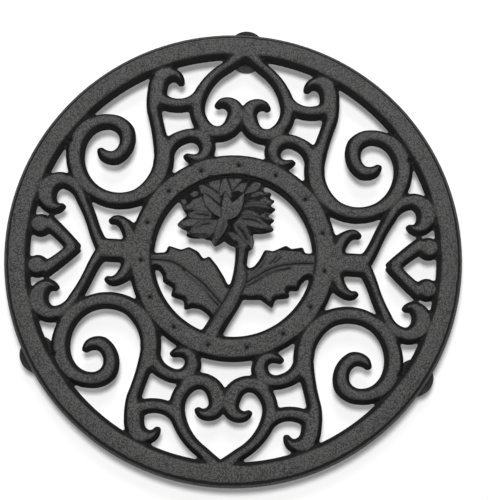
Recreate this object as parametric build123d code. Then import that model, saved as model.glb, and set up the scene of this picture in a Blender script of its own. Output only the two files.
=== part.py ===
from build123d import *
import os

# Round cast-iron trivet: one openwork casting on three pegs, with a rubber cap pushed over each peg.
# Millimetres, +Z up. The origin is on the table, under the middle of the medallion.

# Overall sizes
RIM_DIAMETER = 160.0
STANDING_HEIGHT = 17.0  # from the table to the face that a pot rests on
PLATE_THICKNESS = 6.0  # of the openwork plate, without its pegs

# Rim and medallion ring
RIM_WIDTH = 8.6
RING_DIAMETER = 72.6
RING_WIDTH = 8.3
BEVEL_WIDTH = 1.0  # along the top edges that no scroll meets
BEVEL_HEIGHT = 1.4

# Scrollwork
SCROLL_WIDTH = 5.5
DOT_DIAMETER = 7.6
DOT_LAP = 0.8  # of a dot into the rim
WEB_WIDTH = 7.7

# Flower, stem and leaves in the medallion
STEM_WIDTH = 5.6
PETAL_DROP = 0.7  # each layer of petals lies this far below the layer in front of it
LEAF_DROP = 0.3  # from the top face
MIDRIB_WIDTH = 1.0
MIDRIB_DEPTH = 0.8
DIMPLE_COUNT = 15
DIMPLE_DIAMETER = 1.5
DIMPLE_SIDES = 6  # round enough at this size
DIMPLE_DEPTH = 0.5

# Pegs and rubber caps
PEG_DIAMETER = 7.0
CAP_DIAMETER = 13.0
CAP_FLOOR = 3.0  # rubber under the peg
CAP_CLEARANCE = 0.05  # between peg and bore, all round
PEG_END_GAP = 0.4  # between the peg's end and the bore's floor
FEET = {"back": 90.0, "left": 210.0, "right": 330.0}  # degrees round the rim

# Levels and radii that follow
UNDERSIDE = STANDING_HEIGHT - PLATE_THICKNESS
RIM_OUTER = RIM_DIAMETER / 2
RIM_INNER = RIM_OUTER - RIM_WIDTH
RING_OUTER = RING_DIAMETER / 2
RING_INNER = RING_OUTER - RING_WIDTH
RIM_MIDDLE = (RIM_INNER + RIM_OUTER) / 2

# Scrolls of one quarter as (share of the way from ring to rim, degrees, share of the scroll width)
HEART = [
    (1.063, 89.8, 0.97), (0.913, 84.4, 0.73), (0.598, 73.8, 0.92), (0.265, 75.8, 0.97),
    (0.237, 82.0, 0.97), (0.358, 87.2, 1.14), (0.507, 86.5, 0.92), (0.548, 83.0, 0.64),
    (0.504, 80.2, 0.28),
]
S_SCROLL = [
    (0.805, 69.9, 0.28), (0.917, 68.9, 0.75), (0.942, 65.3, 1.14), (0.834, 62.2, 1.19),
    (0.656, 58.3, 0.84), (0.198, 52.2, 1.19), (0.102, 28.9, 1.03), (0.532, 21.9, 0.95),
    (0.894, 31.3, 1.14), (0.933, 38.3, 1.03), (0.823, 44.6, 0.92), (0.643, 46.5, 1.00),
    (0.521, 37.3, 0.86), (0.618, 35.2, 0.70), (0.705, 36.1, 0.28),
]
CROSS_BAR = [(0.629, 74.3, 0.92), (0.598, 70.2, 0.84), (0.631, 65.5, 0.84), (0.766, 61.2, 0.97)]
INNER_HOOK = [
    (0.140, 49.8, 1.30), (0.291, 64.3, 0.84), (0.247, 70.5, 0.86), (0.120, 73.4, 1.00),
    (0.026, 69.2, 0.75), (0.053, 63.7, 0.56), (0.116, 61.6, 0.28),
]
SIDE_HOOK = [(0.004, 3.1, 1.19), (0.124, 14.2, 0.67), (0.199, 14.5, 0.53), (0.244, 12.5, 0.28)]
FORK = [
    (0.231, -1.5, 0.92), (0.410, 10.2, 0.67), (0.591, 18.2, 0.75), (0.842, 21.2, 0.97),
    (0.939, 18.2, 1.19), (0.922, 14.1, 1.19), (0.823, 12.2, 0.78), (0.738, 13.9, 0.28),
]
CHEVRON = [(0.536, -0.8, 0.86), (0.694, 4.3, 0.84), (0.875, 7.8, 1.00)]
SIDE_WEB = (-0.06, 0.31)  # from the ring to the forks' root, on the X axis
DOT_ANGLE = 6.1  # degrees

# Medallion motifs as shares of the radius of the ring's inner top edge
STEM = [
    (0.13, 0.22, 1.1), (0.12, 0.03, 0.9), (0.11, -0.18, 0.9), (0.07, -0.40, 1.0),
    (-0.03, -0.62, 1.05), (-0.14, -0.82, 1.1), (-0.23, -1.02, 1.3),
]
LEFT_LEAF = [
    (-1.04, -0.02), (-0.80, 0.01), (-0.79, 0.09), (-0.63, 0.05), (-0.54, 0.09), (-0.43, 0.04),
    (-0.36, -0.05), (-0.29, -0.01), (-0.19, -0.12), (-0.10, -0.25), (-0.04, -0.36), (0.04, -0.40),
    (-0.16, -0.80), (-0.27, -0.69), (-0.35, -0.64), (-0.45, -0.63), (-0.54, -0.66), (-0.55, -0.55),
    (-0.71, -0.51), (-0.69, -0.41), (-0.82, -0.34), (-0.82, -0.27), (-0.88, -0.20), (-1.02, -0.17),
]
LEFT_MIDRIB = [(-0.97, -0.09, 1.0), (-0.70, -0.12, 1.0), (-0.44, -0.26, 1.0), (-0.13, -0.58, 0.6)]
RIGHT_LEAF = [
    (1.03, 0.10), (0.85, 0.10), (0.83, 0.17), (0.69, 0.14), (0.63, 0.18), (0.48, 0.10), (0.38, 0.11),
    (0.32, -0.02), (0.25, -0.12), (0.14, -0.14), (0.08, -0.49), (0.23, -0.49), (0.36, -0.48),
    (0.50, -0.57), (0.53, -0.47), (0.70, -0.44), (0.67, -0.35), (0.80, -0.35), (0.82, -0.28),
    (0.88, -0.21), (1.02, -0.16),
]
RIGHT_MIDRIB = [(0.18, -0.33, 0.6), (0.40, -0.19, 1.0), (0.66, -0.06, 1.0), (0.97, -0.02, 1.0)]
FLOWER_CENTRE = (-0.11, 0.48)
BOSS_SHARE = 0.07  # radius of the boss where the front petals meet
FLOWER_DISC = (-0.10, 0.60, 0.38)  # middle and radius of the disc behind the petals
# Petals in layers from front to back, as (degrees, reach, width) about the flower's centre
PETAL_LAYERS = [
    [(99, 0.31, 0.16), (56, 0.35, 0.17), (250, 0.37, 0.18)],
    [(139, 0.38, 0.18), (192, 0.60, 0.24), (228, 0.36, 0.22), (287, 0.35, 0.20),
     (314, 0.48, 0.24), (0, 0.58, 0.16)],
    [(168, 0.56, 0.27), (208, 0.53, 0.22), (349, 0.59, 0.20), (14, 0.60, 0.18), (33, 0.62, 0.22)],
    [(144, 0.58, 0.22), (93, 0.54, 0.20), (48, 0.64, 0.24)],
    [(162, 0.64, 0.18), (152, 0.62, 0.20), (131, 0.56, 0.20), (71, 0.54, 0.20), (57, 0.62, 0.20),
     (24, 0.62, 0.16)],
]


def band_point(share, degrees):
    """A place between the medallion ring (share 0) and the rim (share 1)."""
    radius = RING_OUTER + share * (RIM_INNER - RING_OUTER)
    return Vector(radius, 0).rotate(Axis.Z, degrees)


def medallion_span(share):
    """A length in the medallion, as a share of the radius of the ring's inner top edge."""
    return share * (RING_INNER + BEVEL_WIDTH)


def medallion_point(x, y):
    return Vector(medallion_span(x), medallion_span(y))


def smooth_line(points):
    """An arc to each span of the smooth line through the points."""
    spline = Edge.make_spline(points)
    stations = [spline.param_at_point(p) for p in points]
    arcs = []
    for start, end, here, there in zip(points, points[1:], stations, stations[1:]):
        arcs.append(ThreePointArc(start, spline @ ((here + there) / 2), end))
    return arcs


def ribbon(points, widths):
    """The outline of a tapering bar along a smooth line."""
    spline = Edge.make_spline(points)
    normals = [spline.tangent_at(p).rotate(Axis.Z, 90) for p in points]
    left = [p + n * (w / 2) for p, n, w in zip(points, normals, widths)]
    right = [p - n * (w / 2) for p, n, w in zip(points, normals, widths)][::-1]
    ends = [Edge.make_line(left[-1], right[0]), Edge.make_line(right[-1], left[0])]
    return make_face(smooth_line(left) + smooth_line(right) + ends)


def plate(outline, drop=0.0):
    """An outline raised from the underside to the top face, or to a little below it."""
    return extrude(Pos(0, 0, UNDERSIDE) * outline, PLATE_THICKNESS - drop, dir=(0, 0, 1))


def scroll(rows):
    points = [band_point(share, degrees) for share, degrees, _ in rows]
    return plate(ribbon(points, [SCROLL_WIDTH * width for _, _, width in rows]))


def side_web():
    start, end = [band_point(share, 0) for share in SIDE_WEB]
    return plate(Pos((start + end) / 2) * Rectangle((end - start).length, WEB_WIDTH))


def dot():
    centre = Vector(RIM_INNER + DOT_LAP - DOT_DIAMETER / 2, 0).rotate(Axis.Z, DOT_ANGLE)
    return plate(Pos(centre) * Circle(DOT_DIAMETER / 2))


def round_band(plain, bevelled):
    """A ring between a plain wall and one with a bevelled top edge, given by their radii."""
    inward = BEVEL_WIDTH if plain > bevelled else -BEVEL_WIDTH
    profile = [
        (plain, UNDERSIDE), (bevelled, UNDERSIDE), (bevelled, STANDING_HEIGHT - BEVEL_HEIGHT),
        (bevelled + inward, STANDING_HEIGHT), (plain, STANDING_HEIGHT),
    ]
    return revolve(make_face(Plane.XZ * Polyline(*profile, close=True)), Axis.Z)


def four_ways(shape):
    """The shape and its mirror images in the other three quarters."""
    pair = [shape, mirror(shape, about=Plane.YZ)]
    return pair + [mirror(one, about=Plane.XZ) for one in pair]


def leaf(outline):
    points = [medallion_point(x, y) for x, y in outline]
    return plate(make_face(Polyline(*points, close=True)), LEAF_DROP)


def medallion_ribbon(rows, width):
    points = [medallion_point(x, y) for x, y, _ in rows]
    return ribbon(points, [width * share for _, _, share in rows])


def midrib(rows):
    """The groove along a leaf, as the solid to take away."""
    floor = STANDING_HEIGHT - LEAF_DROP - MIDRIB_DEPTH
    slot = Pos(0, 0, floor) * medallion_ribbon(rows, MIDRIB_WIDTH)
    return extrude(slot, LEAF_DROP + MIDRIB_DEPTH, dir=(0, 0, 1))


def petal(degrees, reach, width):
    """The outline of a pointed petal, from the flower's centre out to its tip."""
    along = Vector(1, 0).rotate(Axis.Z, degrees)
    side = along.rotate(Axis.Z, 90) * (medallion_span(width) / 2)
    root = medallion_point(*FLOWER_CENTRE)
    tip = root + along * medallion_span(reach)
    belly = (root + tip) / 2
    return make_face([ThreePointArc(root, belly + side, tip), ThreePointArc(tip, belly - side, root)])


def flower():
    """Layers of petals in steps from front to back, on a disc."""
    layers = [Sketch() + [petal(*place) for place in places] for places in PETAL_LAYERS]
    layers[0] += Pos(medallion_point(*FLOWER_CENTRE)) * Circle(medallion_span(BOSS_SHARE))
    x, y, radius = FLOWER_DISC
    layers.append(Pos(medallion_point(x, y)) * Circle(medallion_span(radius)))
    return [plate(layer, index * PETAL_DROP) for index, layer in enumerate(layers)]


def dimples():
    """Small round punch marks along the middle of the medallion ring's face."""
    radius = (RING_INNER + RING_OUTER) / 2
    outline = Pos(radius, 0, STANDING_HEIGHT) * RegularPolygon(DIMPLE_DIAMETER / 2, DIMPLE_SIDES)
    mark = extrude(outline, -DIMPLE_DEPTH)
    step = 360 / DIMPLE_COUNT
    return [Rot(0, 0, 90 + step * index) * mark for index in range(DIMPLE_COUNT)]


def peg_axis(degrees):
    return Rot(0, 0, degrees) * Pos(RIM_MIDDLE, 0, 0)


def peg(degrees):
    length = UNDERSIDE - CAP_FLOOR - PEG_END_GAP
    return peg_axis(degrees) * Pos(0, 0, UNDERSIDE - length) * Solid.make_cylinder(PEG_DIAMETER / 2, length)


def foot_cap(degrees):
    """A rubber cup that seats against the rim's underside, with a blind bore for the peg."""
    body = Solid.make_cylinder(CAP_DIAMETER / 2, UNDERSIDE)
    bore = Solid.make_cylinder(PEG_DIAMETER / 2 + CAP_CLEARANCE, UNDERSIDE - CAP_FLOOR)
    return peg_axis(degrees) * (body - Pos(0, 0, CAP_FLOOR) * bore)


def casting():
    rim = round_band(RIM_INNER, RIM_OUTER)
    pieces = [round_band(RING_OUTER, RING_INNER), leaf(LEFT_LEAF), leaf(RIGHT_LEAF)]
    pieces.append(plate(medallion_ribbon(STEM, STEM_WIDTH)))
    pieces += flower()
    for rows in (HEART, S_SCROLL, CROSS_BAR, INNER_HOOK, SIDE_HOOK, FORK, CHEVRON):
        pieces += four_ways(scroll(rows))
    pieces += four_ways(dot())
    web = side_web()
    pieces += [web, mirror(web, about=Plane.YZ)]
    pieces += [peg(degrees) for degrees in FEET.values()]
    whole = rim.fuse(*pieces)
    return whole.cut(midrib(LEFT_MIDRIB), midrib(RIGHT_MIDRIB), *dimples())


os.makedirs("parts", exist_ok=True)
export_step(casting(), "parts/casting.step")
for name, degrees in FEET.items():
    export_step(foot_cap(degrees), f"parts/foot_cap_{name}.step")
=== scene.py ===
import math

import bmesh
import bpy
import numpy as np
from mathutils import Matrix, Vector, kdtree, noise


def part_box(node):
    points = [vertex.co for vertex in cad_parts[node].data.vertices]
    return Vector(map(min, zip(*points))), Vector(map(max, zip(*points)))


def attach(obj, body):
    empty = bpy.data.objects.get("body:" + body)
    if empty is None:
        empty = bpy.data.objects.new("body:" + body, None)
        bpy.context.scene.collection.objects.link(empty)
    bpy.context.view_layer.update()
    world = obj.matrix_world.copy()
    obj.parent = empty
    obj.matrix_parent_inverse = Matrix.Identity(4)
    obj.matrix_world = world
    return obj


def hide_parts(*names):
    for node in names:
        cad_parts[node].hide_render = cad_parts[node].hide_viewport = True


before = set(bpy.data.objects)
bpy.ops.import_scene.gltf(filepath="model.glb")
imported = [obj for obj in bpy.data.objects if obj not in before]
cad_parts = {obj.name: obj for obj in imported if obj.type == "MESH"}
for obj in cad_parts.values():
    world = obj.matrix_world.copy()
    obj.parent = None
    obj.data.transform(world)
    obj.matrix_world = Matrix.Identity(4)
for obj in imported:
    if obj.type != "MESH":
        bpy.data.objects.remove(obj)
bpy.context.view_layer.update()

# Round cast-iron trivet on three rubber feet. Sizes are in millimetres unless a name says otherwise.
MM = 0.001

# Levels and radii of the solid model
UNDERSIDE = 11.0
PLATE = 6.0  # thickness of the openwork plate
RIM_OUTER = 80.0
RIM_INNER = 71.4
RIM_MIDDLE = 75.7
RING_OUTER = 36.3
RING_INNER = 28.0
RING_EDGE = 29.0  # inner top edge of the medallion ring
LEAF_DROP = 0.3

# Drafted walls and rounded shoulders of the casting, by distance from the outline at their feet
DRAFT_OUT = 0.3  # of the feet beyond the solid's upright walls, but for the rim's outer wall
CORNER_SHARE = 0.9  # feet nearer to another wall than this share of the draft are left out
FOOT = 1.2  # upright part of a wall
SHOULDER_IN = 1.3
SHOULDER_HEIGHT = 5.3
CROWN_IN = 2.0
LEDGE_IN = 0.9  # ledge of the mould's parting line round the rim
LEDGE_FOOT = 2.6
LEDGE_HEIGHT = 3.2
# painted light on the ledge, as a share of the upper faces' lighter grey
LEDGE_LIT = 0.45
RIM_SHOULDER_IN = 1.9  # of the rim's outer wall
RIM_CROWN_IN = 2.7
OUTLINE_SLACK = 0.25  # how far a scroll's own outline may lie inside the casting's
VALLEY_IN = 0.95  # depth of the valleys where scrolls meet, as a distance from an outline
MARKS_IN = 0.3  # creases, veins and marks begin this far from the outline

# Upper faces painted a lighter grey for the light on them, and lower faces, rounded edges and valleys
# painted black as shade, by height above the underside
LIT_FROM = 5.45
LIT_TO = 5.7
FACE_SLACK = 0.6  # a point further below the face than this lies on a wall
SHADED_BELOW = 0.2  # below this share of painted light a face takes the shaded copy of the iron, which has no reflection

# Mesh
FIRST_VOXEL = 0.5
VOXEL = 0.42
TRIANGLES = 150000  # before the medallion's faces are made finer
OUTLINE_STEP = 0.25
WELD = 0.001  # points nearer than this become one
LEVEL = 0.95  # least rise or fall of a level face's normal
UPPER = 0.35  # least rise of an upper face's normal
UPPER_FROM = 1.0  # least height of an upper face above the underside
LEVEL_SLACK = 0.02
WALL_FROM = 0.1  # least height of a wall's middle above the underside
RIM_SLACK = 0.1  # a foot this near to the rim's radius is on its outer wall
DRAFT_FROM = -0.1  # heights above the underside from which points are drafted and pressed
PRESS_FROM = 0.3
PRESS_TOP = 1.5
DEEP = 9.0  # more than half the width of any bar
BAR_MARGIN = 1.0  # round a bar's box
BATCH = 20000  # points at a time

# Grid that holds the depth in the scrolls
MAP_STEP = 0.2
MAP_SIZE = 82.0

# Scrolls of one quarter as (share of the way from ring to rim, degrees, share of the scroll width)
SCROLL_WIDTH = 5.5
SCROLLS = [
    [(1.063, 89.8, 0.97), (0.913, 84.4, 0.73), (0.598, 73.8, 0.92), (0.265, 75.8, 0.97),
     (0.237, 82.0, 0.97), (0.358, 87.2, 1.14), (0.507, 86.5, 0.92), (0.548, 83.0, 0.64),
     (0.504, 80.2, 0.28)],
    [(0.805, 69.9, 0.28), (0.917, 68.9, 0.75), (0.942, 65.3, 1.14), (0.834, 62.2, 1.19),
     (0.656, 58.3, 0.84), (0.198, 52.2, 1.19), (0.102, 28.9, 1.03), (0.532, 21.9, 0.95),
     (0.894, 31.3, 1.14), (0.933, 38.3, 1.03), (0.823, 44.6, 0.92), (0.643, 46.5, 1.00),
     (0.521, 37.3, 0.86), (0.618, 35.2, 0.70), (0.705, 36.1, 0.28)],
    [(0.629, 74.3, 0.92), (0.598, 70.2, 0.84), (0.631, 65.5, 0.84), (0.766, 61.2, 0.97)],
    [(0.140, 49.8, 1.30), (0.291, 64.3, 0.84), (0.247, 70.5, 0.86), (0.120, 73.4, 1.00),
     (0.026, 69.2, 0.75), (0.053, 63.7, 0.56), (0.116, 61.6, 0.28)],
    [(0.004, 3.1, 1.19), (0.124, 14.2, 0.67), (0.199, 14.5, 0.53), (0.244, 12.5, 0.28)],
    [(0.231, -1.5, 0.92), (0.410, 10.2, 0.67), (0.591, 18.2, 0.75), (0.842, 21.2, 0.97),
     (0.939, 18.2, 1.19), (0.922, 14.1, 1.19), (0.823, 12.2, 0.78), (0.738, 13.9, 0.28)],
    [(0.536, -0.8, 0.86), (0.694, 4.3, 0.84), (0.875, 7.8, 1.00)],
]
DOT_RADIUS = 3.8
DOT_PLACE = (68.4, 6.1)  # radius and degrees
WEB_WIDTH = 7.7
WEB_REACH = (34.2, 47.2)  # along the X axis

# Stem as (x, y, half width)
STEM = [
    (3.8, 6.4, 3.1), (3.0, 2.7, 2.1), (2.9, 0.9, 1.9), (2.75, -2.4, 1.9), (3.2, -5.2, 2.5),
    (2.0, -11.6, 2.8), (-0.9, -18.0, 2.95), (-4.1, -23.8, 3.1), (-6.7, -29.6, 3.65),
]
STEM_SLIM = 1.2  # how far its right side is drawn in below the flower
SLIM_Y = (-4.2, -2.6, 2.7, 3.6)  # from none to all of it, and back to none
SLIM_X = (2.2, 4.6, 6.8, 7.6)
STEM_DIP = 0.5  # of its face towards the ring
STEM_DIP_FROM = -18.8
STEM_DIP_TO = -22.4
STEM_CREASE_IN = 0.75  # from the stem's outline
STEM_CREASE_TO = 4.0  # the creases end at this line across the medallion

# Flower: outlines of its raised faces, front ones first, as (height above the underside, painted light
# level, outline)
FLOWER_FLOOR = 3.0
FLOWER_FROM = 3.2  # above this line across the medallion all is flower but the stem
STEM_TOP = 3.4
RING_SEAM = 0.2  # width of the groove between flower and ring, painted black as shade
FACE_GROWTH = 0.3  # of each outline
FACE_EDGE = 0.45  # width of the rounded edge of a face, painted darker as shade
FACE_DROP = 0.8
FLOWER_FACES = [
    (6.0, 1.0, [
        (-4.9, 13.0), (-5.0, 17.0), (-4.7, 20.3), (-4.2, 22.4), (-3.0, 20.8), (-1.5, 18.6), (0.2, 20.0),
        (2.4, 22.4), (2.4, 19.5), (1.7, 16.3), (0.4, 14.2), (-1.4, 12.9), (-3.4, 12.6)]),
    (5.9, 0.9, [
        (-3.0, 12.6), (-2.6, 10.6), (-3.6, 8.2), (-5.2, 5.8), (-7.2, 3.8), (-7.4, 6.0), (-6.8, 8.5),
        (-6.2, 10.8), (-5.9, 12.6), (-4.5, 13.4)]),
    (5.7, 0.9, [
        (-5.2, 13.3), (-5.4, 16.8), (-7.2, 18.3), (-9.4, 20.0), (-11.6, 21.4), (-11.6, 19.5),
        (-10.6, 17.0), (-8.8, 15.4), (-7.2, 14.2)]),
    (5.3, 0.6, [
        (0.5, 12.4), (2.2, 14.4), (5.0, 14.6), (8.0, 13.8), (10.5, 12.3), (12.9, 10.6), (9.0, 10.4),
        (5.5, 10.8), (3.5, 11.4)]),
    (5.2, 0.75, [
        (-5.9, 12.3), (-9.5, 12.2), (-12.5, 11.3), (-14.5, 9.4), (-16.2, 7.3), (-14.0, 6.5),
        (-11.0, 6.2), (-8.5, 6.7), (-7.2, 8.2), (-6.4, 10.5)]),
    (5.0, 0.5, [
        (-0.6, 11.0), (0.4, 12.2), (1.8, 12.2), (3.6, 11.0), (5.1, 8.6), (6.1, 5.8), (6.9, 3.3),
        (4.8, 4.4), (3.0, 6.0), (1.4, 7.8), (0.0, 9.4)]),
    (4.8, 0.5, [
        (0.6, 3.0), (5.2, 3.0), (4.4, 4.4), (2.6, 6.0), (1.0, 7.6), (-0.6, 8.4), (-2.4, 8.2),
        (-1.2, 6.8), (0.2, 5.2)]),
    (4.9, 0.8, [
        (-6.0, 16.0), (-9.5, 19.6), (-12.0, 20.3), (-14.8, 19.3), (-16.5, 17.4), (-19.0, 16.5),
        (-16.8, 15.6), (-13.0, 15.6), (-9.0, 15.0)]),
    (4.6, 0.65, [
        (-8.5, 14.8), (-11.0, 15.4), (-14.0, 15.3), (-16.8, 14.2), (-15.9, 12.8), (-12.0, 12.4),
        (-8.5, 13.0)]),
    (4.4, 0.85, [
        (-8.5, 12.6), (-12.0, 12.2), (-16.0, 12.2), (-18.2, 11.3), (-20.4, 9.9), (-17.5, 9.6),
        (-15.0, 9.9), (-12.6, 11.2), (-10.0, 12.0)]),
    (4.8, 0.15, [(2.3, 17.9), (6.0, 18.6), (11.9, 18.4), (11.5, 17.0), (8.0, 15.8), (3.0, 16.1)]),
    (4.6, 0.25, [
        (2.2, 15.8), (5.0, 16.0), (8.2, 15.2), (10.4, 13.9), (8.0, 14.3), (5.0, 15.0), (2.4, 14.9)]),
    (4.3, 0.2, [
        (3.0, 20.2), (4.0, 21.6), (7.0, 23.4), (11.6, 23.7), (9.5, 21.8), (7.0, 20.6), (5.0, 20.0)]),
    (4.4, 0.3, [
        (2.9, 18.6), (4.5, 19.4), (7.0, 19.9), (9.5, 19.8), (12.2, 19.0), (9.0, 19.0), (6.0, 19.0)]),
    (4.1, 0.85, [(8.5, 15.2), (10.5, 16.3), (12.4, 15.9), (12.2, 14.0), (10.2, 13.7)]),
    (3.9, 0.85, [(8.0, 20.4), (9.8, 21.7), (12.0, 20.5), (12.4, 19.3), (10.0, 19.6)]),
    (4.6, 0.95, [
        (-6.3, 20.8), (-6.0, 24.5), (-5.4, 26.9), (-4.6, 28.2), (-3.8, 26.7), (-2.9, 24.6),
        (-2.1, 22.8), (-1.9, 20.6), (-3.2, 21.5), (-4.2, 23.2), (-5.2, 21.5)]),
    (4.3, 0.6, [
        (-13.7, 24.8), (-12.0, 24.6), (-9.5, 23.6), (-6.6, 21.7), (-5.6, 20.2), (-5.6, 18.2),
        (-8.0, 19.8), (-11.0, 21.7), (-12.6, 21.6), (-13.1, 23.0)]),
    (4.0, 0.85, [
        (-2.0, 22.7), (-0.5, 24.3), (1.2, 26.1), (3.2, 26.2), (2.6, 23.8), (1.8, 22.7), (0.3, 23.5)]),
    (3.9, 0.9, [
        (2.6, 22.4), (3.6, 24.6), (5.4, 26.6), (7.7, 27.4), (8.1, 25.8), (7.4, 24.2), (5.0, 23.0)]),
    (3.4, 0.9, [(-12.0, 25.7), (-9.0, 26.8), (-6.2, 27.5), (-6.1, 25.0), (-6.4, 22.5), (-8.5, 23.8)]),
    (3.4, 0.9, [(-3.4, 27.8), (0.5, 28.1), (1.2, 27.5), (-0.2, 25.6), (-1.9, 23.5)]),
    (3.1, 0.8, [(8.2, 24.2), (8.5, 25.4), (11.3, 25.5), (11.3, 24.2)]),
    (3.1, 0.8, [(-16.5, 21.2), (-15.2, 22.5), (-13.8, 22.3), (-13.7, 20.9), (-15.5, 20.4)]),
    (3.1, 0.8, [(-20.1, 17.6), (-19.3, 19.1), (-18.0, 19.2), (-17.3, 18.0), (-19.0, 16.9)]),
]
# Raised edges of some petals, with a painted highlight
FLOWER_RIDGES = [
    [(-15.8, 7.6), (-13.5, 10.0), (-11.0, 11.6)],
    [(2.0, 14.3), (5.0, 14.5), (8.0, 13.6), (12.2, 10.9)],
    [(0.2, 11.9), (1.8, 12.0), (3.6, 10.8), (5.0, 8.5), (6.0, 5.6), (6.5, 4.0)],
    [(2.2, 15.6), (4.5, 15.8), (7.2, 15.2)],
    [(3.2, 18.2), (6.0, 18.8), (9.0, 18.6), (11.2, 18.4)],
    [(4.0, 19.4), (6.5, 19.8), (9.0, 19.7)],
    [(5.6, 22.1), (8.0, 22.9), (10.4, 23.3)],
    [(-14.5, 14.8), (-11.8, 15.1)],
    [(-6.8, 4.6), (-5.5, 8.0), (-5.0, 11.0)],
]
RIDGE_WIDTH = 0.5
RIDGE_HEIGHT = 0.12
# Hollows along others, with painted shade
FLOWER_HOLLOWS = [
    [(-14.6, 8.4), (-12.0, 10.2), (-9.0, 10.9)],
    [(2.5, 13.3), (6.0, 13.2), (9.0, 12.2)],
    [(1.2, 10.4), (3.0, 8.6), (4.4, 6.2)],
    [(-9.5, 13.9), (-13.5, 14.3)],
    [(4.5, 22.0), (7.5, 21.9)],
    [(-3.9, 11.5), (-4.6, 8.2), (-6.4, 5.0)],
]
HOLLOW_WIDTH = 0.75
HOLLOW_DEPTH = 0.3
# share of the painted light taken out in a hollow, as painted shade
HOLLOW_SHADE = 0.8

# Creases where leaves meet the ring, painted dark as shade
LEAF_CREASES = [
    [(-28.6, 0.6), (-28.7, -2.0), (-28.2, -5.2)],
    [(28.4, 3.0), (28.7, 0.0), (28.3, -4.6)],
]
CREASE_WIDTH = 0.45
CREASE_DEPTH = 0.55

# Leaf veins: grooves painted dark as shade, the raised line between two of them, kept clear of that
# painted shade, and faint side veins, painted a little less dark
MIDRIBS = [
    [(-28.2, -2.9), (-22.0, -3.1), (-18.0, -4.7), (-14.5, -7.0), (-10.0, -10.0), (-6.0, -13.9),
     (-3.2, -16.6)],
    [(-17.0, -5.8), (-14.5, -8.0), (-10.4, -11.0), (-6.6, -15.0), (-4.2, -17.4)],
    [(4.9, -9.1), (8.0, -7.1), (11.0, -4.9), (14.0, -3.3), (18.0, -2.0), (23.0, -1.2), (28.0, -0.9)],
    [(5.0, -10.3), (9.0, -7.9), (12.0, -5.7), (15.0, -4.3), (20.0, -3.0)],
]
MIDRIB_WIDTH = 0.6
MIDRIB_DEPTH = 0.6
LEAF_RIDGES = [
    [(-16.0, -6.6), (-12.4, -9.2), (-8.4, -12.6), (-4.6, -16.2)],
    [(5.2, -9.7), (9.5, -6.9), (13.5, -4.4), (18.5, -2.7)],
    [(7.1, -5.6), (9.2, -3.0), (10.9, -0.5)],
]
LEAF_RIDGE_WIDTH = 0.35
LEAF_RIDGE_HEIGHT = 0.1
VEINS = [
    [(6.6, -5.4), (8.6, -2.9), (10.4, -0.4)],
    [(7.6, -5.8), (9.8, -3.2), (11.4, -0.6)],
    [(12.8, -2.2), (14.0, -0.6), (15.2, 0.9)],
    [(14.4, -1.6), (16.6, 0.6)],
]
VEIN_WIDTH = 0.45
VEIN_DEPTH = 0.3
# share of the painted shade in a side vein
VEIN_SHADE = 0.9

# Punch marks round the ring's face, painted dark as shade
DIMPLE_COUNT = 15
DIMPLE_RADIUS = 1.05
DIMPLE_DEPTH = 0.6

# Unevenness of the cast faces: (size, height)
UNEVEN = [(9.0, 0.10), (3.0, 0.05)]

# Pegs and rubber caps
SIDES = ("back", "left", "right")
PEG_RADIUS = 3.5
PEG_CORNER = 0.03  # below the underside
CAP_RADIUS = 6.49
CAP_ROUND = 1.2
CAP_LIP = 0.4
CAP_SOLE = 4.9  # radius of the flat sole
CAP_MIDDLE = 0.4  # radius of the facets that close the sole and the bore
BORE_RADIUS = 3.55
BORE_FLOOR = 3.0
BORE_ROUND = 0.2

# Iron: plain black paint, with painted shade darker in recesses, and upper faces painted a lighter grey
# for the light on them, of light and dark grain with clouds, pits and scratches
WALL_PAINT = (0.026, 0.026, 0.0263, 1)
# painted shade of the recesses, also the black of pits and scratches
SHADE_PIT_AND_SCRATCH_BLACK = (0.010, 0.010, 0.010, 1)
GRAIN_DARK = (0.005, 0.005, 0.005, 1)
GRAIN_LIGHT = (0.073, 0.0726, 0.0712, 1)
CLOUD_GREY = (0.055, 0.0546, 0.0533, 1)
LIT_RISE = (0.55, 0.75)  # of the normal, from walls to upper faces painted lighter
# of the normal, from walls to flat recesses in painted shade
SHADE_RISE = (0.88, 0.98)
NOISE_ROUGH = 0.6  # of grain, clouds and dust
GRAIN_SIZE = 0.5
GRAIN_SPAN = (0.38, 0.62)
CLOUD_SIZE = 9.0
CLOUD_DETAIL = 3.0
CLOUD_SPAN = (0.35, 0.7)
CLOUD_SHARE = 0.3
PIT_SIZE = 1.1
PIT_SPAN = (0.12, 0.34)
PIT_PATCH_SIZE = 2.2
PIT_PATCH_SPAN = (0.46, 0.60)
PIT_SHARE = 0.85
PIT_DEPTH = 0.5  # as a share of the grain's
SCRATCHES = (38, -33)  # degrees
SCRATCH_WIDTH = 0.7
SCRATCH_LENGTH = 9.0
SCRATCH_SPAN = (0.72, 0.80)
SCRATCH_SHARE = 0.7
SHINE_SPAN = (0.2, 0.8)
IRON_ROUGHNESS = (0.34, 0.46)
IRON_BUMP = (0.7, 0.2)  # strength and depth
# Upper faces painted light reflect; faces in painted shade take a copy that doesn't
LIT_SPECULAR = 0.3
SHADED_SPECULAR = 0.0

# Rubber: dull black with a little dust
RUBBER_BLACK = (0.011, 0.011, 0.012, 1)
RUBBER_DUSTY = (0.020, 0.020, 0.020, 1)
RUBBER_GRAIN = 0.4
DUST_SIZE = 4.0
DUST_DETAIL = 3.0
DUST_SPAN = (0.4, 0.75)
RUBBER_ROUGHNESS = (0.62, 0.8)
RUBBER_BUMP = (0.15, 0.06)
RUBBER_SPECULAR = 0.3

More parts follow.
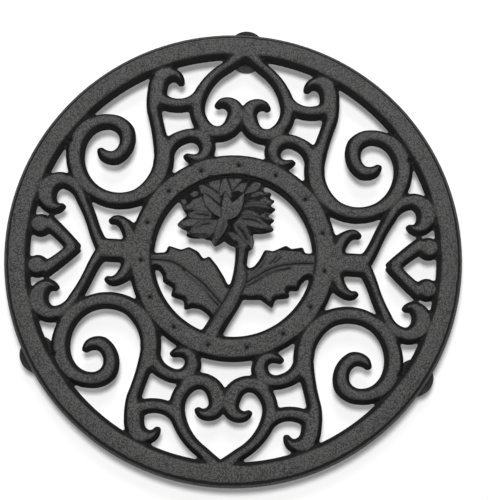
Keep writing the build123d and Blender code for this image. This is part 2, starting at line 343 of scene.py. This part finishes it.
# Floor, in metres from the middle
FLOOR_SIZE = 6.0
FLOOR_COLOUR = (0.97, 0.97, 0.97, 1)
FLOOR_ROUGHNESS = 0.9
FLOOR_WHITE = 0.21  # share of plain white that the camera sees on the floor
FLOOR_SHADED = 0.13  # beyond this the floor turns to plain white
FLOOR_PLAIN = 0.35

# Lights: one overhead, and a wider one further back whose sheen fades towards the front
LIGHTS = {  # degrees to the right and back, distance and size in metres, watts
    "overhead": (-1, 2.5, 0.8, 0.14, 5.6),
    "sheen": (0, 26, 1.2, 0.4, 3.0),
}
FILL = 0.11
WHITE = (1, 1, 1, 1)

# Camera at the photo's angle
CAMERA_TARGET = Vector((0, 0, 17.0)) * MM
CAMERA_BACK = Vector((0.012, -0.1507, 1.0)).normalized()
CAMERA_DISTANCE = 607.52 * MM
CAMERA_ROLL = math.radians(3.635)
FOCAL_PIXELS = 1750.85
IMAGE_SIZE = (488, 500)
TARGET_PIXEL = (233.158, 255.649)
SENSOR = 36.0


def mesh_points(mesh):
    """Vertices in millimetres."""
    points = np.empty(len(mesh.vertices) * 3)
    mesh.vertices.foreach_get("co", points)
    return points.reshape(-1, 3) / MM


def mesh_normals(mesh):
    normals = np.empty(len(mesh.vertices) * 3, dtype=np.float32)
    mesh.vertex_normals.foreach_get("vector", normals)
    return normals.reshape(-1, 3).astype(float)


def set_points(mesh, points):
    mesh.vertices.foreach_set("co", (points * MM).astype(np.float32).ravel())
    mesh.update()


def plan_radius(points):
    return np.hypot(points[:, 0], points[:, 1])


def box_of(node):
    """Corners of a node's box in millimetres."""
    return [np.array(corner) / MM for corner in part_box(node)]


def cap_axis(side):
    low, high = box_of("foot_cap_" + side)
    return (low + high)[:2] / 2


def search_tree(samples):
    tree = kdtree.KDTree(len(samples))
    for index, sample in enumerate(samples):
        tree.insert((sample[0], sample[1], 0.0), index)
    tree.balance()
    return tree


def outline_distance(tree, points):
    return np.array([tree.find((x, y, 0.0))[2] for x, y in points[:, :2]])


def slim_stem(points):
    """The points with the stem's right side drawn in below the flower."""
    along = np.interp(points[:, 1], SLIM_Y, (0, 1, 1, 0))
    across = np.interp(points[:, 0], SLIM_X, (0, 1, 1, 0))
    slim = points.copy()
    slim[:, 0] -= STEM_SLIM * along * across
    return slim


def outline_tree(mesh):
    """A search tree of points along the outline at the feet of the walls."""
    work = bmesh.new()
    work.from_mesh(mesh)
    upright, drafted = [], []
    for edge in work.edges:
        if len(edge.link_faces) != 2:
            continue
        heights = [face.calc_center_median().z / MM - UNDERSIDE for face in edge.link_faces]
        pairs = list(zip(edge.link_faces, heights))
        down = [f for f, height in pairs if f.normal.z < -LEVEL and abs(height) < LEVEL_SLACK]
        walls = [f for f, height in pairs if f not in down and height > WALL_FROM]
        if len(down) != 1 or len(walls) != 1:
            continue
        start, end = (v.co / MM for v in edge.verts)
        inner = start.xy.length < RIM_MIDDLE
        out = Vector((*walls[0].normal.xy, 0)).normalized() * (DRAFT_OUT if inner else 0)
        count = max(1, math.ceil((end - start).length / OUTLINE_STEP))
        run = [start.lerp(end, (i + 0.5) / count) for i in range(count)]
        upright += run
        drafted += [sample + out for sample in run]
    work.free()
    # In a corner the feet of one wall would lie inside the next, so those are left out
    feet = slim_stem(np.array(drafted))
    away = outline_distance(search_tree(slim_stem(np.array(upright))), feet)
    on_rim = np.abs(plan_radius(feet) - RIM_OUTER) < RIM_SLACK
    return search_tree(feet[on_rim | (away > CORNER_SHARE * DRAFT_OUT)])


def flank(distance, radius):
    """Height of the casting's face above its underside, by distance from the outline."""
    rim = radius > RIM_MIDDLE
    shoulder = np.where(rim, RIM_SHOULDER_IN, SHOULDER_IN)
    crown = np.where(rim, RIM_CROWN_IN, CROWN_IN)
    wall = FOOT + (SHOULDER_HEIGHT - FOOT) * distance / shoulder
    steps = [0, LEDGE_IN, RIM_SHOULDER_IN]
    ledge = np.interp(distance, steps, [LEDGE_FOOT, LEDGE_HEIGHT, SHOULDER_HEIGHT])
    wall = np.where(rim, ledge, wall)
    turn = np.clip((crown - distance) / (crown - shoulder), 0, 1)
    top = PLATE - (PLATE - SHOULDER_HEIGHT) * turn ** 2
    return np.where(distance < shoulder, np.minimum(wall, SHOULDER_HEIGHT), top)


def line_distance(points, line):
    """Distance in plan from the points to a line of straight runs."""
    best = np.full(len(points), np.inf)
    for (ax, ay), (bx, by) in zip(line, line[1:]):
        run = np.array([bx - ax, by - ay])
        rel = points[:, :2] - (ax, ay)
        share = np.clip(rel @ run / (run @ run), 0, 1)
        best = np.minimum(best, np.hypot(*(rel - share[:, None] * run).T))
    return best


def smooth_run(line, steps=6):
    """A smooth curve through the points of a line, as shorter runs."""
    ends = np.array([line[0], *line, line[-1]])
    result = []
    for a, b, c, d in zip(ends, ends[1:], ends[2:], ends[3:]):
        for t in np.arange(steps) / steps:
            bend = (2 * a - 5 * b + 4 * c - d) * t ** 2 + (3 * b - a - 3 * c + d) * t ** 3
            result.append(tuple(0.5 * (2 * b + (c - a) * t + bend)))
    return result + [line[-1]]


def band_line(rows):
    """A scroll's points and half widths from its rows."""
    result = []
    for share, degrees, width in rows:
        radius = RING_OUTER + share * (RIM_INNER - RING_OUTER)
        turn = math.radians(degrees)
        result.append((radius * math.cos(turn), radius * math.sin(turn), SCROLL_WIDTH * width / 2))
    return result


def spline_run(line, step=0.3):
    """Points along the smooth curve through a line's points, with their other values."""
    knots = np.array(line, dtype=float)
    gaps = np.hypot(*np.diff(knots[:, :2], axis=0).T)
    count = len(knots)
    system, target = np.eye(count), np.zeros(knots.shape)
    for i in range(1, count - 1):
        system[i, i - 1:i + 2] = gaps[i - 1], 2 * (gaps[i - 1] + gaps[i]), gaps[i]
        target[i] = 6 * ((knots[i + 1] - knots[i]) / gaps[i] - (knots[i] - knots[i - 1]) / gaps[i - 1])
    bends = np.linalg.solve(system, target)
    result = []
    for i, gap in enumerate(gaps):
        t = np.linspace(0, 1, max(2, math.ceil(gap / step)), endpoint=i == count - 2)[:, None]
        ends = knots[i] * (1 - t) + knots[i + 1] * t
        curve = bends[i] * ((1 - t) ** 3 - (1 - t)) + bends[i + 1] * (t ** 3 - t)
        result.append(ends + curve * gap ** 2 / 6)
    return np.concatenate(result)


def bar_depth(points, line):
    """How far inside a bar each point lies, or less than nothing outside it."""
    run = spline_run(line).astype(np.float32)
    depth = np.full(len(points), -DEEP)
    low = (run[:, :2] - run[:, 2:]).min(axis=0) - BAR_MARGIN
    high = (run[:, :2] + run[:, 2:]).max(axis=0) + BAR_MARGIN
    near = np.nonzero(np.all((points[:, :2] > low) & (points[:, :2] < high), axis=1))[0]
    for part in np.array_split(near, max(1, len(near) // BATCH)):
        x, y = points[part, 0].astype(np.float32), points[part, 1].astype(np.float32)
        away = np.hypot(x[:, None] - run[:, 0], y[:, None] - run[:, 1])
        depth[part] = (run[:, 2] - away).max(axis=1)
    return depth


def scroll_map():
    """How deep in its own scroll each place of one quarter lies, on an even grid."""
    ticks = np.arange(0, MAP_SIZE, MAP_STEP)
    points = np.stack([axis.ravel() for axis in np.meshgrid(ticks, ticks, indexing="ij")], axis=1)
    deepest = np.full(len(points), -DEEP)
    for line in map(band_line, SCROLLS):
        for sx, sy in ((1, 1), (-1, 1), (1, -1)):
            turned = [(sx * x, sy * y, half) for x, y, half in line]
            deepest = np.maximum(deepest, bar_depth(points, turned))
    radius, degrees = DOT_PLACE
    dot = radius * np.array([math.cos(math.radians(degrees)), math.sin(math.radians(degrees))])
    deepest = np.maximum(deepest, DOT_RADIUS - plan_radius(points - dot))
    start, end = WEB_REACH
    along = (end - start) / 2 - np.abs(points[:, 0] - (start + end) / 2)
    web = np.minimum(along, WEB_WIDTH / 2 - points[:, 1])
    return np.maximum(deepest, web).reshape(len(ticks), len(ticks))


def own_depth(grid, points):
    """How far inside its own motif each point lies; rim, ring and scrolls count one by one."""
    place = np.clip(np.abs(points[:, :2]) / MAP_STEP, 0, len(grid) - 1.001)
    cell = place.astype(int)
    i, j = cell.T
    u, v = (place - cell).T
    depth = (grid[i, j] * (1 - u) * (1 - v) + grid[i + 1, j] * u * (1 - v)
             + grid[i, j + 1] * (1 - u) * v + grid[i + 1, j + 1] * u * v)
    radius = plan_radius(points)
    depth = np.maximum(depth, np.minimum(radius - RIM_INNER, RIM_OUTER - radius))
    depth = np.maximum(depth, np.minimum(radius - RING_INNER, RING_OUTER - radius))
    return np.where(radius < RING_EDGE, DEEP, depth)


def inner_distance(points, outline):
    """Distance in plan from an outline, counted as less than nothing outside it."""
    inside = np.zeros(len(points), dtype=bool)
    x, y = points[:, 0], points[:, 1]
    for (ax, ay), (bx, by) in zip(outline, outline[1:] + outline[:1]):
        if ay != by:
            inside ^= ((ay > y) != (by > y)) & (x < ax + (y - ay) * (bx - ax) / (by - ay))
    away = line_distance(points, outline + outline[:1])
    return np.where(inside, away, -away)


def bump(away, width):
    """One on a line and falling to nothing at about twice the width from it."""
    return np.exp(-(away / width) ** 2)


def flower_face(points):
    """Height of the flower's face above the underside, or minus one outside it, and its painted light and
    shade.
    """
    height = np.full(len(points), -1.0)
    shade_tone = np.zeros(len(points))
    area = (points[:, 1] > FLOWER_FROM) & (plan_radius(points) < RING_EDGE)
    area &= (bar_depth(points, STEM) < 0) | (points[:, 1] > STEM_TOP)
    near = points[area]
    face = np.full(len(near), FLOWER_FLOOR)
    shade = np.zeros(len(near))
    for level, strength, outline in reversed(FLOWER_FACES):
        depth = inner_distance(near, outline) + FACE_GROWTH
        edge = np.clip(1 - depth / FACE_EDGE, 0, 1)
        on = (depth >= 0) & (level - FACE_DROP * edge ** 2 > face)
        face = np.where(on, level - FACE_DROP * edge ** 2, face)
        # Each face gets its painted light, with painted shade along its rounded edge
        shade = np.where(on, strength * np.clip(depth / FACE_EDGE, 0, 1), shade)
    # Hollows get painted shade
    for line in map(smooth_run, FLOWER_HOLLOWS):
        dip = bump(line_distance(near, line), HOLLOW_WIDTH)
        face -= HOLLOW_DEPTH * dip
        shade *= 1 - HOLLOW_SHADE * dip
    # Ridges get a painted highlight
    for line in map(smooth_run, FLOWER_RIDGES):
        rise = bump(line_distance(near, line), RIDGE_WIDTH)
        face += RIDGE_HEIGHT * rise
        shade = np.maximum(shade, rise)
    # The groove beside the ring is painted black as shade
    beside_ring = plan_radius(near) > RING_INNER - RING_SEAM
    face[beside_ring] = np.minimum(face[beside_ring], FLOWER_FLOOR)
    shade[beside_ring] = 0
    height[area], shade_tone[area] = np.minimum(face, PLATE), shade
    return height, shade_tone


def relief(points):
    """Depth of creases, veins and marks below the face, and how dark they are."""
    depth = np.zeros(len(points))
    dark = np.zeros(len(points))
    stem = bar_depth(points, STEM)
    in_stem = (stem > 0) & (points[:, 1] < STEM_CREASE_TO) & (plan_radius(points) < RING_INNER)
    creases = [line_distance(points, line) for line in LEAF_CREASES]
    creases.append(np.where(in_stem, np.abs(stem - STEM_CREASE_IN), DEEP))
    midribs = [line_distance(points, smooth_run(line)) for line in MIDRIBS]
    veins = [line_distance(points, line) for line in VEINS]
    # Creases, midribs and veins are painted dark as shade
    for lines, width, deepest, shade_tone in (
        (creases, CREASE_WIDTH, CREASE_DEPTH, 1.0),
        (midribs, MIDRIB_WIDTH, MIDRIB_DEPTH, 1.0),
        (veins, VEIN_WIDTH, VEIN_DEPTH, VEIN_SHADE),
    ):
        for away in lines:
            dip = bump(away, width)
            depth = np.maximum(depth, deepest * dip)
            dark = np.maximum(dark, shade_tone * dip)
    # Raised leaf lines are kept clear of the painted shade
    for line in map(smooth_run, LEAF_RIDGES):
        rise = bump(line_distance(points, line), LEAF_RIDGE_WIDTH)
        depth -= LEAF_RIDGE_HEIGHT * rise
        dark *= 1 - rise
    middle = (RING_INNER + RING_OUTER) / 2
    # Dimples are painted dark as shade
    for index in range(DIMPLE_COUNT):
        turn = math.radians(90 + 360 / DIMPLE_COUNT * index)
        place = middle * np.array([math.cos(turn), math.sin(turn)])
        dip = np.clip(1 - (plan_radius(points[:, :2] - place) / DIMPLE_RADIUS) ** 4, 0, 1)
        depth = np.maximum(depth, DIMPLE_DEPTH * dip)
        dark = np.maximum(dark, dip)
    return depth, dark


def unevenness(points):
    total = np.zeros(len(points))
    for size, height in UNEVEN:
        total += height * (np.array([noise.noise(Vector(p) / size) for p in points]) - 1)
    return total


def face_height(points, tree, grid):
    """Height of the casting's face above the underside at each point, and how dark its painted shade is.
    """
    distance = outline_distance(tree, points)
    radius = plan_radius(points)
    own = np.maximum(own_depth(grid, points) + DRAFT_OUT + OUTLINE_SLACK, VALLEY_IN)
    height = flank(np.maximum(np.minimum(distance, own), 0), radius)
    bloom, shade_tone = flower_face(points)
    leaf = (bloom < 0) & (radius < RING_EDGE)
    stem = bar_depth(points, STEM)
    leaf_top = np.maximum(PLATE - LEAF_DROP, flank(np.maximum(stem, 0), 0))
    height[leaf] = np.minimum(height, leaf_top)[leaf]
    dip = np.clip((STEM_DIP_FROM - points[:, 1]) / (STEM_DIP_FROM - STEM_DIP_TO), 0, 1)
    height -= np.where(leaf & (stem > 0), STEM_DIP * dip, 0.0)
    petals = (bloom > 0) & (radius < RING_EDGE)
    height[petals] = np.minimum(height, bloom)[petals]
    depth, relief_shade = relief(points)
    drop = np.where(leaf, LEAF_DROP, 0.0)
    # Upper faces are painted a lighter grey for the light on them; lower faces, rounded edges and valleys
    # get painted shade, and the flower, creases, veins and dimples add their own painted light and shade
    painted_light = np.clip((height + drop - LIT_FROM) / (LIT_TO - LIT_FROM), 0, 1)
    dark = np.where(petals, 1 - shade_tone, np.maximum(1 - painted_light, relief_shade))
    # The ledge of the parting line round the rim gets a painted light
    dark = np.where((radius > RIM_MIDDLE) & (distance < LEDGE_IN), 1 - LEDGE_LIT, dark)
    return height - depth * np.clip(distance - MARKS_IN, 0, 1), dark


def bake(obj):
    """Applies the object's modifiers."""
    done = bpy.data.meshes.new_from_object(obj.evaluated_get(bpy.context.evaluated_depsgraph_get()))
    obj.modifiers.clear()
    old, obj.data = obj.data, done
    bpy.data.meshes.remove(old)


def remesh(obj, voxel):
    """Rebuilds the object's mesh in even faces."""
    modifier = obj.modifiers.new("even", "REMESH")
    modifier.mode = "VOXEL"
    modifier.voxel_size = voxel * MM
    bake(obj)


def thin_out(obj):
    """Brings the object's mesh down to its number of triangles."""
    modifier = obj.modifiers.new("fewer", "DECIMATE")
    modifier.ratio = min(1.0, TRIANGLES / (2 * len(obj.data.polygons)))
    modifier.use_collapse_triangulate = True
    bake(obj)


def refine_medallion(mesh):
    """Splits the upper faces inside the medallion ring."""
    work = bmesh.new()
    work.from_mesh(mesh)
    reach = RING_EDGE * MM
    upper = [f for f in work.faces if f.normal.z > UPPER and f.calc_center_median().xy.length < reach]
    edges = list({edge for face in upper for edge in face.edges})
    bmesh.ops.subdivide_edges(work, edges=edges, cuts=1, use_grid_fill=True)
    bmesh.ops.triangulate(work, faces=work.faces)
    work.to_mesh(mesh)
    work.free()


def fit_pegs(points):
    """The points with each peg drawn in to its own radius, clear of its cap."""
    fitted = points.copy()
    for axis in map(cap_axis, SIDES):
        rel = points[:, :2] - axis
        away = plan_radius(rel)
        peg = (away > PEG_RADIUS) & (away < CAP_RADIUS) & (points[:, 2] < UNDERSIDE - PEG_CORNER)
        fitted[peg, :2] = axis + rel[peg] * (PEG_RADIUS / away[peg])[:, None]
    return fitted


def on_top(mesh, points):
    """Which points lie on the plate's upper faces."""
    return (mesh_normals(mesh)[:, 2] > UPPER) & (points[:, 2] > UNDERSIDE + UPPER_FROM)


def solid_casting():
    """The casting's solid as a piece of its own, with the points of its faces joined."""
    obj = bpy.data.objects.new("trivet_casting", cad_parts["casting"].data.copy())
    bpy.context.scene.collection.objects.link(obj)
    obj.data.materials.clear()
    work = bmesh.new()
    work.from_mesh(obj.data)
    bmesh.ops.remove_doubles(work, verts=work.verts, dist=WELD * MM)
    work.to_mesh(obj.data)
    work.free()
    return obj


def press_plate(mesh, tree, grid):
    """Drafts the plate's walls and presses the plate down to its relief."""
    points = mesh_points(mesh)
    normals = mesh_normals(mesh)
    height = points[:, 2] - UNDERSIDE
    drafted = (height > DRAFT_FROM) & (plan_radius(points) < RIM_MIDDLE)
    points[drafted, :2] += DRAFT_OUT * normals[drafted, :2]
    points = slim_stem(points)
    plate = height > PRESS_FROM
    level, _ = face_height(points[plate], tree, grid)
    top = (normals[plate, 2] > UPPER) & (height[plate] > PRESS_TOP)
    pressed = np.minimum(height[plate], height[plate] / PLATE * level)
    points[plate, 2] = UNDERSIDE + np.where(top, level, pressed)
    set_points(mesh, points)


def raise_faces(mesh, tree, grid):
    """Lays the upper faces on the relief."""
    points = mesh_points(mesh)
    top = on_top(mesh, points)
    level, _ = face_height(points[top], tree, grid)
    points[top, 2] = UNDERSIDE + level + unevenness(points[top])
    set_points(mesh, np.clip(points, *box_of("casting")))


def finish_faces(mesh, tree, grid):
    """Lays the medallion's finer faces on the relief, stores the painted light and shade of every point,
    and gives faces in painted shade the shaded iron.
    """
    points = mesh_points(mesh)
    level, dark = face_height(points, tree, grid)
    fine = on_top(mesh, points) & (plan_radius(points) < RING_EDGE)
    points[fine, 2] = UNDERSIDE + level[fine] + unevenness(points[fine])
    set_points(mesh, fit_pegs(np.clip(points, *box_of("casting"))))
    # Painted light of each point: none on walls and in painted shade, more on the upper faces
    below = points[:, 2] < UNDERSIDE + np.minimum(level, LIT_FROM) - FACE_SLACK
    painted_light = np.where(below, 0.0, 1 - dark)
    shade = mesh.attributes.new("painted_light", "FLOAT", "POINT")
    shade.data.foreach_set("value", painted_light.astype(np.float32))
    corners = np.empty(len(mesh.polygons) * 3, dtype=np.int32)
    mesh.polygons.foreach_get("vertices", corners)
    # Faces mostly in painted shade take the shaded copy of the iron
    walls = painted_light[corners.reshape(-1, 3)].mean(axis=1) < SHADED_BELOW
    mesh.polygons.foreach_set("material_index", walls.astype(np.int32))


def make_casting():
    obj = solid_casting()
    tree = outline_tree(obj.data)
    grid = scroll_map()
    remesh(obj, FIRST_VOXEL)
    press_plate(obj.data, tree, grid)
    remesh(obj, VOXEL)
    raise_faces(obj.data, tree, grid)
    thin_out(obj)
    refine_medallion(obj.data)
    obj.data.shade_smooth()
    finish_faces(obj.data, tree, grid)
    return obj


def lathe(name, profile, axis, steps=72):
    """A closed round piece about an upright axis from (radius, height) points."""
    work = bmesh.new()
    rings = []
    for radius, height in profile:
        ring = []
        for step in range(steps):
            turn = 2 * math.pi * step / steps
            x = axis[0] + radius * math.cos(turn)
            y = axis[1] + radius * math.sin(turn)
            ring.append(work.verts.new((x * MM, y * MM, height * MM)))
        rings.append(ring)
    for lower, upper in zip(rings, rings[1:]):
        for step in range(steps):
            following = (step + 1) % steps
            work.faces.new((lower[step], lower[following], upper[following], upper[step]))
    work.faces.new(rings[0][::-1])
    work.faces.new(rings[-1])
    bmesh.ops.recalc_face_normals(work, faces=work.faces)
    mesh = bpy.data.meshes.new(name)
    work.to_mesh(mesh)
    work.free()
    mesh.shade_smooth()
    obj = bpy.data.objects.new(name, mesh)
    bpy.context.scene.collection.objects.link(obj)
    return obj


def rounded(corner, radius, start, steps=5):
    """Points of a quarter round of a profile's corner, given by its middle and first direction."""
    turns = [math.radians(start + 90 * i / steps) for i in range(steps + 1)]
    return [(corner[0] + radius * math.cos(t), corner[1] + radius * math.sin(t)) for t in turns]


def make_cap(side):
    profile = [(CAP_MIDDLE, 0.0), (CAP_SOLE, 0.0)]
    profile += rounded((CAP_RADIUS - CAP_ROUND, CAP_ROUND), CAP_ROUND, -90)
    profile += rounded((CAP_RADIUS - CAP_LIP, UNDERSIDE - CAP_LIP), CAP_LIP, 0)
    profile += [(BORE_RADIUS + CAP_LIP, UNDERSIDE), (BORE_RADIUS, UNDERSIDE - CAP_LIP)]
    profile += [(BORE_RADIUS, BORE_FLOOR + BORE_ROUND), (BORE_RADIUS - BORE_ROUND, BORE_FLOOR)]
    profile += [(CAP_MIDDLE, BORE_FLOOR)]
    return lathe("rubber_cap_" + side, profile, cap_axis(side))


class Nodes:
    """Short forms for building a tree of nodes."""

    def __init__(self, tree):
        self.tree = tree

    def add(self, kind, **inputs):
        node = self.tree.nodes.new(kind)
        for key, value in inputs.items():
            self.feed(node.inputs[key.replace("_", " ")], value)
        return node

    def feed(self, socket, value):
        if isinstance(value, bpy.types.NodeSocket):
            self.tree.links.new(value, socket)
        else:
            socket.default_value = value

    def maths(self, operation, first, second):
        node = self.tree.nodes.new("ShaderNodeMath")
        node.operation = operation
        self.feed(node.inputs[0], first)
        self.feed(node.inputs[1], second)
        return node.outputs[0]

    def span(self, value, limits, results=(0.0, 1.0)):
        """A smooth run from one result to the other between two limits of the value."""
        node = self.tree.nodes.new("ShaderNodeMapRange")
        node.interpolation_type = "SMOOTHSTEP"
        for socket, item in zip(node.inputs, (value, *limits, *results)):
            self.feed(socket, item)
        return node.outputs[0]

    def blend(self, factor, first, second):
        node = self.tree.nodes.new("ShaderNodeMix")
        node.data_type = "RGBA"
        self.feed(node.inputs["Factor"], factor)
        self.feed(node.inputs[6], first)
        self.feed(node.inputs[7], second)
        return node.outputs[2]

    def place(self):
        return self.add("ShaderNodeTexCoord").outputs["Object"]

    def noise(self, size, detail=2.0, rough=0.5):
        """Noise whose spots are about that many millimetres across."""
        texture = self.add("ShaderNodeTexNoise", Vector=self.place(), Scale=1 / (size * MM))
        texture.inputs["Detail"].default_value = detail
        texture.inputs["Roughness"].default_value = rough
        return texture.outputs["Fac"]

    def streaks(self, degrees):
        """Noise drawn out into scratches in one direction."""
        turned = self.add("ShaderNodeMapping", Vector=self.place(), Rotation=(0, 0, math.radians(degrees)))
        turned.inputs["Scale"].default_value = (SCRATCH_WIDTH * MM, SCRATCH_LENGTH * MM, 1)
        turned.vector_type = "TEXTURE"
        texture = self.add("ShaderNodeTexNoise", Vector=turned.outputs["Vector"], Scale=1.0, Detail=0.0)
        return texture.outputs["Fac"]

    def bumps(self, height, strength, depth):
        """The normal of a surface with small bumps."""
        return self.add("ShaderNodeBump", Height=height, Strength=strength, Distance=depth * MM).outputs[0]

    def seen(self):
        """One where a ray comes from the camera, a gloss or through glass, and zero elsewhere."""
        path = self.add("ShaderNodeLightPath")
        result = path.outputs["Is Camera Ray"]
        for name in ("Is Glossy Ray", "Is Transmission Ray"):
            result = self.maths("MAXIMUM", result, path.outputs[name])
        return result


def new_material(name, specular):
    """A material, its nodes and its shader's inputs."""
    material = bpy.data.materials.new(name)
    material.use_nodes = True
    shader = material.node_tree.nodes["Principled BSDF"]
    shader.inputs["Specular IOR Level"].default_value = specular
    return material, Nodes(material.node_tree), shader.inputs


def iron_material(name, specular):
    """Black paint, with upper faces painted a lighter speckled grey for the light on them and painted
    shade in recesses.
    """
    material, n, shader = new_material(name, specular)
    geometry = n.add("ShaderNodeNewGeometry")
    rise = n.add("ShaderNodeSeparateXYZ", Vector=geometry.outputs["Normal"]).outputs["Z"]
    painted_light = n.add("ShaderNodeAttribute")
    painted_light.attribute_name = "painted_light"
    # Painted light: upper faces by the rise of their normal and the stored painted light
    face = n.maths("MULTIPLY", n.span(rise, LIT_RISE), painted_light.outputs["Fac"])
    grain = n.noise(GRAIN_SIZE, rough=NOISE_ROUGH)
    cloud = n.noise(CLOUD_SIZE, CLOUD_DETAIL, NOISE_ROUGH)
    cells = n.add("ShaderNodeTexVoronoi", Vector=n.place(), Scale=1 / (PIT_SIZE * MM), Randomness=1.0)
    patches = n.span(n.noise(PIT_PATCH_SIZE), PIT_PATCH_SPAN)
    pits = n.maths("MULTIPLY", n.span(cells.outputs["Distance"], PIT_SPAN, (1.0, 0.0)), patches)
    top = n.blend(n.span(grain, GRAIN_SPAN), GRAIN_DARK, GRAIN_LIGHT)
    top = n.blend(n.span(cloud, CLOUD_SPAN), top, n.blend(CLOUD_SHARE, top, CLOUD_GREY))
    top = n.blend(n.maths("MULTIPLY", pits, PIT_SHARE), top, SHADE_PIT_AND_SCRATCH_BLACK)
    for degrees in SCRATCHES:
        scratch = n.span(n.streaks(degrees), SCRATCH_SPAN, (0.0, SCRATCH_SHARE))
        top = n.blend(scratch, top, SHADE_PIT_AND_SCRATCH_BLACK)
    # Walls keep the black paint; flat recesses are painted darker as shade
    paint_and_shade = n.blend(n.span(rise, SHADE_RISE), WALL_PAINT, SHADE_PIT_AND_SCRATCH_BLACK)
    n.feed(shader["Base Color"], n.blend(face, paint_and_shade, top))
    n.feed(shader["Roughness"], n.span(grain, SHINE_SPAN, IRON_ROUGHNESS))
    height = n.maths("SUBTRACT", grain, n.maths("MULTIPLY", pits, PIT_DEPTH))
    n.feed(shader["Normal"], n.bumps(height, *IRON_BUMP))
    return material


def rubber_material():
    material, n, shader = new_material("black_rubber", RUBBER_SPECULAR)
    grain = n.noise(RUBBER_GRAIN)
    dust = n.span(n.noise(DUST_SIZE, DUST_DETAIL, NOISE_ROUGH), DUST_SPAN)
    n.feed(shader["Base Color"], n.blend(dust, RUBBER_BLACK, RUBBER_DUSTY))
    n.feed(shader["Roughness"], n.span(grain, SHINE_SPAN, RUBBER_ROUGHNESS))
    n.feed(shader["Normal"], n.bumps(grain, *RUBBER_BUMP))
    return material


def floor_material():
    """White paper that keeps the object's shadow and turns to plain white further out."""
    material, n, shader = new_material("white_floor", 0.0)
    shader["Base Color"].default_value = FLOOR_COLOUR
    shader["Roughness"].default_value = FLOOR_ROUGHNESS
    glow = n.add("ShaderNodeEmission", Color=WHITE, Strength=1.0)
    away = n.tree.nodes.new("ShaderNodeVectorMath")
    away.operation = "LENGTH"
    n.feed(away.inputs[0], n.place())
    white = n.span(away.outputs["Value"], (FLOOR_SHADED, FLOOR_PLAIN), (FLOOR_WHITE, 1.0))
    mixed = n.add("ShaderNodeMixShader", Fac=n.maths("MULTIPLY", n.seen(), white))
    n.feed(mixed.inputs[1], n.tree.nodes["Principled BSDF"].outputs["BSDF"])
    n.feed(mixed.inputs[2], glow.outputs["Emission"])
    n.feed(n.tree.nodes["Material Output"].inputs["Surface"], mixed.outputs["Shader"])
    return material


def make_floor():
    mesh = bpy.data.meshes.new("floor")
    half = FLOOR_SIZE / 2
    corners = [(-half, -half, 0), (half, -half, 0), (half, half, 0), (-half, half, 0)]
    mesh.from_pydata(corners, [], [(0, 1, 2, 3)])
    mesh.materials.append(floor_material())
    floor = bpy.data.objects.new("floor", mesh)
    bpy.context.scene.collection.objects.link(floor)
    return floor


def make_light(name, sideways, backwards, distance, size, power):
    lamp = bpy.data.lights.new(name, "AREA")
    lamp.shape = "DISK"
    lamp.size = size
    lamp.energy = power
    light = bpy.data.objects.new(name, lamp)
    toward = Vector((math.tan(math.radians(sideways)), math.tan(math.radians(backwards)), 1)).normalized()
    light.location = toward * distance
    light.rotation_euler = toward.to_track_quat("Z", "Y").to_euler()
    light.visible_glossy = name == "sheen"
    bpy.context.scene.collection.objects.link(light)


def make_world():
    """A faint even light that the camera sees as white."""
    world = bpy.data.worlds.new("studio")
    world.use_nodes = True
    n = Nodes(world.node_tree)
    background = world.node_tree.nodes["Background"].inputs
    background["Color"].default_value = WHITE
    level = n.add("ShaderNodeMapRange", Value=n.seen(), To_Min=FILL)
    n.feed(background["Strength"], level.outputs["Result"])
    bpy.context.scene.world = world


def make_camera():
    forward = -CAMERA_BACK
    right = forward.cross(Vector((0, 1, 0))).normalized()
    up = right.cross(forward)
    rolled_right = right * math.cos(CAMERA_ROLL) + up * math.sin(CAMERA_ROLL)
    rolled_up = up * math.cos(CAMERA_ROLL) - right * math.sin(CAMERA_ROLL)
    aim = forward * FOCAL_PIXELS
    aim += rolled_right * (IMAGE_SIZE[0] / 2 - TARGET_PIXEL[0])
    aim += rolled_up * (TARGET_PIXEL[1] - IMAGE_SIZE[1] / 2)
    back = -aim.normalized()
    across = rolled_up.cross(back).normalized()
    data = bpy.data.cameras.new("camera")
    data.sensor_fit = "HORIZONTAL"
    data.sensor_width = SENSOR
    data.lens = FOCAL_PIXELS / IMAGE_SIZE[0] * SENSOR
    camera = bpy.data.objects.new("camera", data)
    turn = Matrix((across, back.cross(across), back)).transposed()
    place = CAMERA_TARGET + CAMERA_BACK * CAMERA_DISTANCE
    camera.matrix_world = Matrix.Translation(place) @ turn.to_4x4()
    bpy.context.scene.collection.objects.link(camera)
    bpy.context.scene.camera = camera


casting = make_casting()
# A lit copy of the iron for the upper faces and a shaded copy without reflection for faces in painted
# shade
casting.data.materials.append(iron_material("lit_iron", LIT_SPECULAR))
casting.data.materials.append(iron_material("shaded_iron", SHADED_SPECULAR))
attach(casting, "root")
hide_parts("casting")

rubber = rubber_material()
for side in SIDES:
    cap = make_cap(side)
    cap.data.materials.append(rubber)
    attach(cap, "root")
    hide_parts("foot_cap_" + side)

floor = make_floor()
for name, values in LIGHTS.items():
    make_light(name, *values)
make_world()
make_camera()
bpy.context.scene.view_settings.view_transform = "Standard"

bpy.context.view_layer.update()
